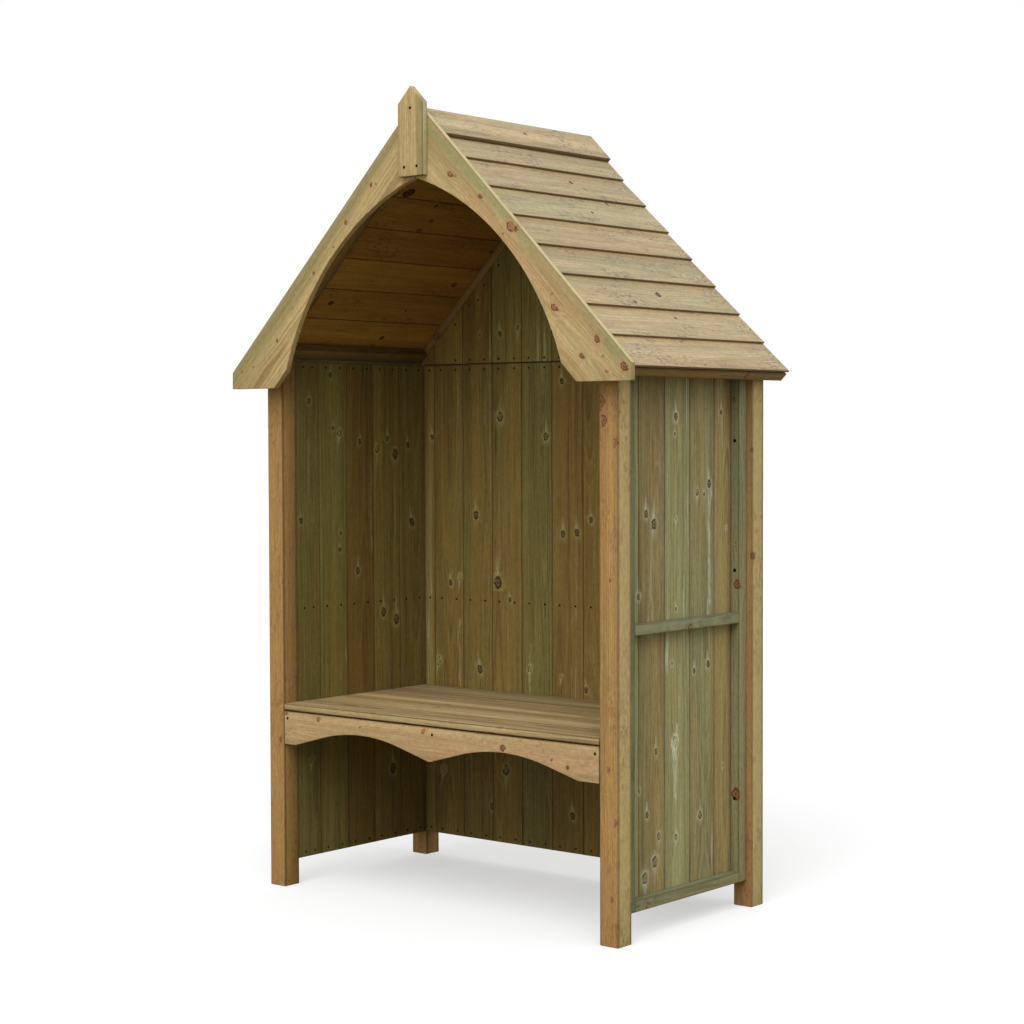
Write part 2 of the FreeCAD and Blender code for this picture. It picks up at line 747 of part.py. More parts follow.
def write_nodes():
    """Check the whole document, then write each sub-part's solids."""
    doc.recompute()
    for thing in doc.Objects:
        if {"Invalid", "Error"} & set(thing.State):
            raise RuntimeError(f"{thing.Name} failed: {thing.State}")
    for label, thing in nodes.items():
        if thing.Shape.isNull() or not thing.Shape.isValid() or not thing.Shape.Solids:
            raise RuntimeError(f"{label} has no sound shape")
    os.makedirs("parts", exist_ok=True)
    for label, thing in nodes.items():
        thing.Shape.exportStep(f"parts/{label}.step")
    print(len(nodes), "nodes written")


build()
write_nodes()
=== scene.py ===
import json
import math
import random

import bmesh
import bpy

from mathutils import Matrix, Vector


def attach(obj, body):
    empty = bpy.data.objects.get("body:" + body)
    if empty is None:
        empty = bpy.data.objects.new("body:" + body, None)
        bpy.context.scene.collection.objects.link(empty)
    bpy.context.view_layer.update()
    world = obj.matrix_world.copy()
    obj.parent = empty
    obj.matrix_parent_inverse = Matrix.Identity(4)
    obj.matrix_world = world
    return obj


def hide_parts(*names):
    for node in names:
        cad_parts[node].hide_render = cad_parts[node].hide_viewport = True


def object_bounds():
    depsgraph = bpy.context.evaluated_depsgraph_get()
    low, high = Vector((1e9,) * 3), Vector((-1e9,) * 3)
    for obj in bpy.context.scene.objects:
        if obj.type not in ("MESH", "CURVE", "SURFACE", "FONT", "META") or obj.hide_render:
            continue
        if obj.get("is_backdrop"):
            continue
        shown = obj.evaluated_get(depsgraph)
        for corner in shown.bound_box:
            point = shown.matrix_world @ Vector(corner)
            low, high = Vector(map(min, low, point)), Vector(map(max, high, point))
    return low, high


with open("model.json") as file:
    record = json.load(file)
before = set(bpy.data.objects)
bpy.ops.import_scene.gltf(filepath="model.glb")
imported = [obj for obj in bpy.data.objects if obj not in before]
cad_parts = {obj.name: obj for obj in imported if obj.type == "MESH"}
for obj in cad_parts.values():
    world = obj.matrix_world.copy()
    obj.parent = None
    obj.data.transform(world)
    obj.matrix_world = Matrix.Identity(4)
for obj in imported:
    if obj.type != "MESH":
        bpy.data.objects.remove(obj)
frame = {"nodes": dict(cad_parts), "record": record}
cad_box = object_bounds()

# Directions in the frame: X across, +Y to the back, +Z up. The roof's slopes fall at 45 degrees.
PITCH = math.radians(45)
ACROSS, BACKWARD, UP = Vector((1, 0, 0)), Vector((0, 1, 0)), Vector((0, 0, 1))
DOWN_SLOPE = Vector((math.cos(PITCH), 0, -math.sin(PITCH)))
OUT_OF_SLOPE = Vector((math.sin(PITCH), 0, math.cos(PITCH)))

MM = 0.001
WHITE = (1.0, 1.0, 1.0, 1.0)

# The floor, seen as white paper and lighting the object as grass would, and the sky's own light.
FLOOR_SIZE = 60
LAWN = (146, 138, 112)
PAPER = (178, 178, 178)
PAPER_GLOW = 0.5
SKY_LIGHT = 0.44

# The lamps, wide soft suns: strength, spread, bearing from the front to the right, and height.
LAMPS = {
    "key": (2.3, 50, 25, 48),
    "side": (0.6, 60, 95, 25),
    "low_front": (0.7, 50, 5, 8),
    "overhead": (0.8, 110, 0, 90),
}

# The photograph's view, from the front right at eye height. The angles are in degrees.
CAMERA_PLACE = (3.733, -4.4895, 1.260)
CAMERA_LENS, CAMERA_SENSOR = 75.7, 36.0
CAMERA_TURN, CAMERA_TILT, CAMERA_ROLL = 39.59, 2.10, -0.17

# The noises in the wood: how often each changes in a metre along and across the grain, how many
# finer layers it has, and how strong they are.
NOISES = {
    "broad": (0.35, 34, 2, 0.5),
    "fibre": (7, 330, 2, 0.6),
    "mottle": (60, 130, 3, 0.7),
    "fleck": (80, 260, 2, 0.7),
    "patch": (1.6, 16, 3, 0.5),
    "blush": (1.9, 18, 3, 0.5),
    "spread": (6, 15, 2, 0.5),
    "scribble": (55, 110, 4, 0.75),
    "thread": (2.5, 120, 4, 0.75),
    "gate": (2.2, 14, 1, 0.5),
    "wobble": (4, 22, 2, 0.5),
    "crust": (50, 300, 3, 0.5),
}
# How far apart two boards lie in a noise, for a whole step of their tone, then the same for their
# resin runs and their knots, and how far apart two knots of one board lie for each metre between.
APART, RUNS_APART, KNOTS_APART = 60, 50, 90
KNOTS_APART_PER_METRE = 170

# The parts of a knot are rings round its middle. Each rises from nothing at its first distance to
# full strength at its second, in the knot's own radii.
EYE, PUPIL = (1.1, 0.8), (0.45, 0.2)
RIM_OUTSIDE, RIM_INSIDE = (1.35, 1.1), (0.6, 0.9)
HALO, GLOW = (2.0, 1.35), (3.4, 1.3)
TAIL_LENGTH, TAIL_WIDTH = (10.0, 1.5), (0.8, 0.2)

# The rest of the pine: its growth rings, the dark seams and ends, a resin run's thread, the height
# that its grain stands up, and how rough and how glossy it is.
RINGS_PER_METRE = 230
SEAM, END = (3.4 * MM, 0.4 * MM), (2.0 * MM, 0.3 * MM)
RUN_THREAD = (5.4 * MM, 1.6 * MM)
GRAIN_LIFT = 0.5 * MM
PLANED, PINE_GLOSS = 0.68, 0.3

# How the eased timbers are made from the CAD solids.
FLAT_ENOUGH, SHARP_EDGE, SMOOTH_SHADING = (math.radians(angle) for angle in (0.5, 30, 35))
SHORTEST_EASED = 8 * MM
EASE_STEPS = 3
CUT_SLACK = 0.001 * MM

# The fixings: their colours, how far a wall nail's head swells, how near points are joined, and the
# arch, whose heads are filled, from its foot up and clear of the finial.
ZINC, DARK_ZINC = (20, 16, 12), (8, 6, 5)
FILLER, DARK_FILLER = (158, 134, 90), (104, 84, 52)
HEAD_SWELL = 0.9 * MM
JOINED = 0.01 * MM
ARCH_FOOT, FINIAL_HALF = 1.4, 0.1


def shade(red, green, blue):
    """A colour as it looks on a screen, 0 to 255, as the linear one that a shader takes."""
    channels = []
    for value in (red, green, blue):
        level = value / 255
        channels.append(level / 12.92 if level <= 0.04045 else ((level + 0.055) / 1.055) ** 2.4)
    return (*channels, 1.0)


class Wire:
    """An output in a material. Python's arithmetic on it adds the Math nodes."""

    def __init__(self, paint, socket):
        self.paint = paint
        self.socket = socket

    def __add__(self, other):
        return self.paint.maths("ADD", self, other)

    def __radd__(self, other):
        return self.paint.maths("ADD", other, self)

    def __sub__(self, other):
        return self.paint.maths("SUBTRACT", self, other)

    def __rsub__(self, other):
        return self.paint.maths("SUBTRACT", other, self)

    def __mul__(self, other):
        return self.paint.maths("MULTIPLY", self, other)

    def __truediv__(self, other):
        return self.paint.maths("DIVIDE", self, other)

    def __pow__(self, other):
        return self.paint.maths("POWER", self, other)

    def __abs__(self):
        return self.paint.maths("ABSOLUTE", self)

    def low(self, other):
        """The lower of two."""
        return self.paint.maths("MINIMUM", self, other)

    def high(self, other):
        """The higher of two."""
        return self.paint.maths("MAXIMUM", self, other)

    def part(self):
        """What is left of it past a whole number."""
        return self.paint.maths("FRACT", self)

    def swell(self, start, end):
        """A smooth rise from 0 at start to 1 at end, or a fall where start is the higher."""
        return self.paint.node("MapRange", {"interpolation_type": "SMOOTHSTEP"},
                               {"Value": self, "From Min": start, "From Max": end})

    def within(self, most=1.0):
        """Held between 0 and the most."""
        return self.high(0.0).low(most)

    def split(self):
        """A vector's three numbers."""
        made = self.paint.node("SeparateXYZ", {}, {"Vector": self})
        return [Wire(self.paint, made.socket.node.outputs[axis]) for axis in "XYZ"]


class Paint:
    """A node tree under construction, for a new material or the world."""

    def __init__(self, owner):
        owner.use_nodes = True
        self.owner = owner
        self.tree = owner.node_tree
        self.tree.nodes.clear()

    def node(self, kind, settings, inputs, output=0):
        """A node of a type, with its settings, then the values or links of its sockets."""
        made = self.tree.nodes.new("ShaderNode" + kind)
        for name, value in settings.items():
            setattr(made, name, value)
        for name, value in inputs.items():
            if isinstance(value, Wire):
                self.tree.links.new(value.socket, made.inputs[name])
            else:
                made.inputs[name].default_value = value
        return Wire(self, made.outputs[output]) if made.outputs else None

    def maths(self, operation, first, second=0.0):
        return self.node("Math", {"operation": operation}, {0: first, 1: second})

    def vector(self, x, y, z):
        return self.node("CombineXYZ", {}, {"X": x, "Y": y, "Z": z})

    def mix(self, first, second, factor, how="MIX"):
        """Colour first turned to second by a factor."""
        return self.node("Mix", {"data_type": "RGBA", "blend_type": how},
                         {0: factor, 6: first, 7: second}, 2)

    def noise(self, place, scale=1.0, detail=2.0, rough=0.5):
        """Smooth noise about 0, about half a unit each way."""
        made = self.node("TexNoise", {}, {"Vector": place, "Scale": scale, "Detail": detail,
                                          "Roughness": rough})
        return made - 0.5

    def attribute(self, name):
        """A vector kept on the mesh's points."""
        return self.node("Attribute", {"attribute_name": name}, {}, "Vector")

    def surface(self, colour, rough, height, *, lift, strength, gloss):
        """The finish: colour, roughness and a bumpy height, lift metres at its full rise."""
        bump = self.node("Bump", {}, {"Strength": strength, "Distance": lift, "Height": height})
        shader = self.node("BsdfPrincipled", {}, {"Base Color": colour, "Roughness": rough,
                                                  "Normal": bump, "Specular IOR Level": gloss})
        self.node("OutputMaterial", {}, {"Surface": shader})
        return self.owner


class Grain:
    """A board's own measures at a point of its surface, read from the mesh."""

    def __init__(self, paint):
        self.paint = paint
        self.along, self.across, self.depth = paint.attribute("grain").split()
        self.share_along, self.share_across, self.share_depth = paint.attribute("share").split()
        self.half_along, self.half_across, _ = paint.attribute("half").split()
        self.green, self.pink, self.tone = paint.attribute("board").split()
        self.knot_along, self.knot_across, self.knot_depth = paint.attribute("knot").split()
        self.knot_radius = paint.node("Attribute", {"attribute_name": "knot_radius"}, {}, "Fac")
        self.run_aside, self.run_share, self.run_flow = paint.attribute("run").split()

    def to_edge(self):
        """Metres to the nearer long edge."""
        return (1 - abs(self.share_across)) * self.half_across

    def to_end(self):
        """Metres to the nearer end."""
        return (1 - abs(self.share_along)) * self.half_along

    def noise(self, name, ahead=0.0, aside=0.0):
        """One of the noises, drawn out along the grain."""
        lengthways, crossways, detail, rough = NOISES[name]
        place = self.paint.vector(self.along * lengthways + ahead, self.across * crossways,
                                  self.depth * crossways + aside)
        return self.paint.noise(place, detail=detail, rough=rough)

    def wander(self, lengthways, line, apart=APART, detail=1, rough=0.5):
        """Noise that changes along a board alone, another one on each board and for each line."""
        place = self.paint.vector(self.along * lengthways, self.tone * apart, line)
        return self.paint.noise(place, detail=detail, rough=rough)


def paint_knot(paint, grain, wood, look):
    """The board's nearest knot: a ringed eye in a broken dark rim, with a pale halo and a tail of
    resin along the grain. Gives the painted wood and the rim."""
    long, wide, deep = (way / grain.knot_radius
                        for way in (grain.knot_along, grain.knot_across, grain.knot_depth))
    # The knot's middle is the same all over it, so this noise is one number for each knot.
    own = paint.noise(paint.vector((grain.along - grain.knot_along) * KNOTS_APART_PER_METRE,
                                   (grain.across - grain.knot_across) * KNOTS_APART_PER_METRE,
                                   grain.tone * APART), detail=0)
    board = grain.tone * KNOTS_APART
    ragged = paint.noise(paint.vector(long * 0.9, wide * 0.9, board), detail=3, rough=0.6)
    wide = wide + long * own * 0.8
    reach = (long * long * 0.6 + wide * wide + deep * deep) ** 0.5
    reach = reach * (look["small"] + ragged * look["torn"])
    eye = reach.swell(*EYE)
    broken = paint.noise(paint.vector(long * 0.7, wide * 0.7, board + 7), detail=2)
    rim = reach.swell(*RIM_OUTSIDE) * reach.swell(*RIM_INSIDE)
    rim = rim * (broken * 1.5 + own).swell(-0.3, 0.05)
    pupil = reach.swell(*PUPIL) * own.swell(-0.15, 0.1)
    halo = reach.swell(*HALO) * (broken - own).swell(-0.3, 0.1)
    glow = reach.swell(*GLOW) * (own + ragged).swell(-0.35, 0.15)

    run = paint.noise(paint.vector(long * 0.2, wide * 1.2, grain.tone * 70), detail=2)
    one_way = (long * (own + 0.04)).swell(-0.1, 0.2)
    tail = abs(long).swell(*TAIL_LENGTH) * abs(wide + run * 2.4).swell(*TAIL_WIDTH) * one_way
    years = paint.maths("SINE", reach * 12 + ragged * 12) * 0.5 + 0.5
    wood = paint.mix(wood, look["halo"], (halo * look["ringed"]).high(glow * 0.4))
    wood = paint.mix(wood, look["resin"], tail * look["tail"] * (0.9 + ragged * 1.5))
    filled = own.swell(-0.2, 0.05) * (0.9 - look["solid"]) + look["solid"]
    wood = paint.mix(wood, paint.mix(look["eye"], look["rim"], years * 0.4), eye * filled)
    wood = paint.mix(wood, look["rim"], (rim * 0.95).high(pupil * 0.8))
    return wood, rim


def resin_run(grain):
    """Where two threads of resin have run down the board, crossing each other."""
    first = grain.run_aside + grain.wander(6, 0.0, RUNS_APART, detail=4, rough=0.6) * 0.035
    second = grain.run_aside + grain.wander(6, 5.0, RUNS_APART, detail=4, rough=0.6) * 0.055
    thread = abs(first).low(abs(second)).swell(*RUN_THREAD)
    length = grain.run_share.swell(0.0, 0.04) * grain.run_share.swell(1.0, 0.85)
    return thread * length * (grain.noise("crust") * 2.6 + 0.55).within() * grain.run_flow


def from_pith(paint, grain):
    """Metres from the trunk's pith, which wanders along the board. The rings bend round a knot."""
    cut_across = grain.across + grain.wander(0.8, 0.0) * 0.06
    cut_depth = grain.depth + grain.wander(0.8, 5.0) * 0.07
    radius = (cut_across * cut_across + cut_depth * cut_depth) ** 0.5
    squares = (grain.knot_along * grain.knot_along * 0.6 + grain.knot_across * grain.knot_across
               + grain.knot_depth * grain.knot_depth)
    nearness = paint.maths("EXPONENT",
                           0 - squares / (grain.knot_radius * grain.knot_radius) * 0.15)
    return radius + grain.noise("wobble") * 0.006 + nearness * grain.knot_radius * 0.9


def pine(name, look, *, green=0.3, pink=0.3, varied=1.0, rings=1.0, streaks=1.0, resin=0.0,
         smudges=0.0, flecks=0.4, room_shade=None, edge=0.6):
    """Planed, treated softwood: growth rings, streaks, green and pink patches, and knots.

    look has the colours. green and pink say how far the patches spread, and varied how much the
    boards differ. rings, streaks, resin, smudges and flecks say how strongly these show, room_shade
    is painted shade, a tint multiplied into the faces turned to the room, and edge is how dark the
    seams are."""
    paint = Paint(bpy.data.materials.new(name))
    grain = Grain(paint)
    board = grain.tone * APART
    heart = from_pith(paint, grain)
    year = heart * RINGS_PER_METRE
    uneven = paint.noise(paint.vector(year * 0.35, board, 0.0), detail=1)
    ring = (year + uneven * 1.8).part()
    late = ring.swell(0.2, 0.85) * ring.swell(1.0, 0.9)

    band = paint.noise(paint.vector(grain.along * 0.45, heart * 85, board), detail=4, rough=0.7)
    broad, fibre = grain.noise("broad"), grain.noise("fibre")
    mossy = grain.noise("patch") * 2.2 + broad * 1.6 + (grain.green - 0.5) * varied + green
    if look["band"]:
        mossy = mossy + grain.share_across.swell(0.4, 0.8) * look["band"]
    rosy = grain.noise("blush", ahead=7) * 2.4 + band * 0.8
    rosy = rosy + (grain.pink - 0.5) * varied + pink - 0.25
    light = paint.mix(look["pale"], look["moss"], mossy.within(0.9))
    light = paint.mix(light, look["rose"], rosy.within(0.8))
    streak = (band * 1.9 + broad * 1.1) * streaks
    dark = 0.35 + late * (0.6 + uneven) * 0.45 * rings + streak + fibre * 1.1 - 0.09 * rings
    wood = paint.mix(light, look["deep"], dark.within())
    # Painted light and shade on one side face: the roof boards' lower edges darker, as in shade,
    # and the posts' outer sides and the trim boards' top edges lighter, as where light falls.
    flank = grain.share_across.swell(0.97, 0.99) * look["flank_cover"]
    wood = paint.mix(wood, look["flank"], flank)

    fleck = grain.noise("fleck", aside=3).swell(0.1, 0.25)
    wood = paint.mix(wood, look["smudge"], fleck * flecks)
    if smudges:
        spread = grain.noise("spread", aside=board).swell(-0.02, 0.14)
        smudge = spread * grain.noise("scribble").swell(-0.02, 0.12)
        wood = paint.mix(wood, look["smudge"], smudge * smudges)
    if resin:
        thread, gate = grain.noise("thread"), grain.noise("gate", aside=4)
        weep = thread.swell(0.06, 0.14) * gate.swell(0.08, 0.18)
        scorch = thread.swell(-0.07, -0.15) * gate.swell(-0.08, -0.18)
        wood = paint.mix(wood, look["resin"], weep * resin)
        wood = paint.mix(wood, look["scorch"], scorch * resin)
        wood = paint.mix(wood, look["resin"], resin_run(grain))

    wood, rim = paint_knot(paint, grain, wood, look)
    seam = grain.to_edge().swell(*SEAM) * abs(grain.share_depth).swell(0.6, 0.9)
    end = grain.to_end().swell(*END)
    wood = paint.mix(wood, look["seam"], (seam * edge + end * edge).low(0.9))
    # Painted shade: the faces turned to the room are multiplied by the tint, as dark as the room's
    # shade would make them.
    if room_shade:
        room = grain.share_depth.swell(0.3, -0.3)
        wood = paint.mix(wood, paint.mix(wood, room_shade, 1.0, "MULTIPLY"), room)

    # The middle of a light board is paler still, in a strip that strays to the sides.
    off_middle = abs(grain.share_across + grain.wander(1.5, 9.0) * 0.6)
    strip = off_middle.swell(0.5, 0.15) * grain.tone.swell(0.6, 0.75)
    value = 1 + strip * 0.12 + fibre * 0.2 + (grain.tone - 0.5) * 0.2 * varied
    value = value + (band * 0.35 + broad * 0.25) * streaks + grain.noise("mottle") * 0.7
    grey = paint.node("CombineColor", {}, {"Red": value, "Green": value, "Blue": value})
    wood = paint.mix(wood, grey, 1.0, "MULTIPLY")

    rough = fibre * 0.25 + late * 0.06 + PLANED
    height = fibre * 0.4 + late * 0.25 + band * 0.4 - rim * 0.8
    return paint.surface(wood, rough, height, lift=GRAIN_LIFT, strength=1.0, gloss=PINE_GLOSS)


def old_zinc(name, filled=False):
    """Dull metal of the fixings, darkened by the weather. Filled heads, on the arch alone, have the
    colour of wood."""
    paint = Paint(bpy.data.materials.new(name))
    place = paint.node("TexCoord", {}, {}, "Object")
    cloud = paint.noise(place, scale=350, detail=3)
    patchy = (cloud * 2 + 0.5).within()
    dull = paint.mix(shade(*ZINC), shade(*DARK_ZINC), patchy)
    if filled:
        x, _, z = place.split()
        on_arch = z.swell(ARCH_FOOT, ARCH_FOOT + MM) * abs(x).swell(FINIAL_HALF, FINIAL_HALF + MM)
        dull = paint.mix(dull, paint.mix(shade(*FILLER), shade(*DARK_FILLER), patchy), on_arch)
    rough = cloud * 0.3 + 0.8
    return paint.surface(dull, rough, cloud, lift=0.2 * MM, strength=0.6, gloss=0.15)


def measured(axes, place):
    """A place on a timber's own axes."""
    return Vector(axis.dot(place) for axis in axes)


def solids_of(mesh):
    """A mesh's closed solids, each as its faces' corner places. The faces of one follow each
    other, and it's whole when every edge has been met twice."""
    places = [tuple(round(value, 6) for value in vertex.co) for vertex in mesh.vertices]
    open_edges, faces = set(), []
    for polygon in mesh.polygons:
        corners = [places[index] for index in polygon.vertices]
        faces.append(corners)
        for first, second in zip(corners, corners[1:] + corners[:1]):
            if first != second:
                open_edges ^= {frozenset((first, second))}
        if not open_edges:
            yield faces
            faces = []


def eased_solid(faces, radius):
    """A solid's mesh with its long sharp edges rounded."""
    solid = bmesh.new()
    points = {}
    for corners in faces:
        for corner in corners:
            if corner not in points:
                points[corner] = solid.verts.new(corner)
        if len(set(corners)) == len(corners):
            solid.faces.new([points[corner] for corner in corners])
    solid.normal_update()
    bmesh.ops.dissolve_limit(solid, angle_limit=FLAT_ENOUGH, verts=solid.verts[:],
                             edges=solid.edges[:])
    sharp = [edge for edge in solid.edges
             if edge.calc_face_angle(0) > SHARP_EDGE and edge.calc_length() > SHORTEST_EASED]
    bmesh.ops.bevel(solid, geom=sharp, offset=radius, segments=EASE_STEPS, profile=0.5,
                    affect="EDGES", clamp_overlap=False)
    bmesh.ops.triangulate(solid, faces=[face for face in solid.faces if len(face.verts) > 4])
    return solid


def give_knots(solid, faces, knots, axes):
    """Every corner learns how far off its face's knot is. While there are more knots than one, the
    faces are cut in the widest gap between them, and each side keeps its own knots."""
    if len(knots) > 1:
        gaps = []
        for axis in (0, 1):
            row = sorted(knot[axis] for knot in knots)
            gaps += [(second - first, axis, (first + second) / 2)
                     for first, second in zip(row, row[1:])]
        _, axis, middle = max(gaps)
        way = axes[axis]
        around = [part for face in faces for part in (*face.verts, *face.edges)]
        split = bmesh.ops.bisect_plane(solid, geom=list(dict.fromkeys(around)) + faces,
                                       dist=CUT_SLACK, plane_co=way * middle, plane_no=way)
        halves = [face for face in split["geom"] if isinstance(face, bmesh.types.BMFace)]
        for side in (False, True):
            own = [face for face in halves
                   if (way.dot(face.calc_center_median()) > middle) == side]
            give_knots(solid, own, [knot for knot in knots if (knot[axis] > middle) == side],
                       axes)
        return
    *place, radius = knots[0]
    offsets = solid.loops.layers.float_vector["knot"]
    radii = solid.loops.layers.float["knot_radius"]
    for corner in (corner for face in faces for corner in face.loops):
        offset = [way.dot(corner.vert.co) - at for way, at in zip(axes, place)]
        # A knot given without a depth goes right through its board.
        corner[offsets] = Vector(offset + [0.0] * (3 - len(offset)))
        corner[radii] = radius * MM


def knots_of(node, low, high, dice):
    """A board's knots: those listed for it, or a few of its own, or one too far off to be seen."""
    if node in KNOTS:
        found = [knot for knot in KNOTS[node] if low.x < knot[0] < high.x
                 and low.y - KNOT_MARGIN < knot[1] < high.y + KNOT_MARGIN]
    else:
        count = round((high.x - low.x) * dice.uniform(0, MOST_KNOTS_PER_METRE))
        found = [(dice.uniform(low.x, high.x), dice.uniform(low.y, high.y),
                  dice.choice(KNOT_SIZES)) for _ in range(count)]
    return found or [(low.x - FAR_OFF, low.y, 1.0)]


def write_grain(solid, node, axes, dice):
    """Each point's place along, across and into its board, kept for the finish."""
    layers = {name: solid.verts.layers.float_vector.new(name)
              for name in ("grain", "share", "half", "board", "run")}
    solid.loops.layers.float_vector.new("knot")
    solid.loops.layers.float.new("knot_radius")
    places = [measured(axes, point.co) for point in solid.verts]
    low, high = (Vector(limit(place[axis] for place in places) for axis in range(3))
                 for limit in (min, max))
    middle, half = (low + high) / 2, (high - low) / 2
    # Where the board was sawn from the trunk, as measured from its pith.
    start = Vector((dice.uniform(0, 40), dice.uniform(-0.04, 0.04), dice.uniform(0.02, 0.07)))
    tones = Vector((dice.random(), dice.random(), dice.random()))
    for place, *chosen in TONES.get(node, ()):
        if low.y < place < high.y:
            tones = Vector(chosen)
    runs = [run for run in RUNS.get(node, ()) if low.y < run[0] < high.y]
    aside, top, bottom, flow = runs[0] if runs else NO_RUN
    give_knots(solid, solid.faces[:], knots_of(node, low, high, dice), axes)
    for point in solid.verts:
        place = measured(axes, point.co)
        offset = place - middle
        point[layers["run"]] = Vector((place.y - aside, (top - place.x) / (top - bottom), flow))
        point[layers["grain"]] = offset + start
        point[layers["share"]] = Vector(offset[axis] / half[axis] for axis in range(3))
        point[layers["half"]] = half
        point[layers["board"]] = tones


def timber(node, axes, finish, radius, seed):
    """The piece that stands for a CAD node of sawn timber."""
    dice = random.Random(seed)
    whole = bpy.data.meshes.new(node + "_timber")
    joined = bmesh.new()
    for faces in solids_of(frame["nodes"][node].data):
        solid = eased_solid(faces, radius)
        write_grain(solid, node, axes, dice)
        board = bpy.data.meshes.new("board")
        solid.to_mesh(board)
        joined.from_mesh(board)
        solid.free()
        bpy.data.meshes.remove(board)
    joined.to_mesh(whole)
    joined.free()
    whole.materials.append(finish)
    whole.shade_smooth()
    whole.set_sharp_from_angle(angle=SMOOTH_SHADING)
    piece = bpy.data.objects.new(node + "_timber", whole)
    bpy.context.scene.collection.objects.link(piece)
    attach(piece, "root")
    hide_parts(node)
    return piece


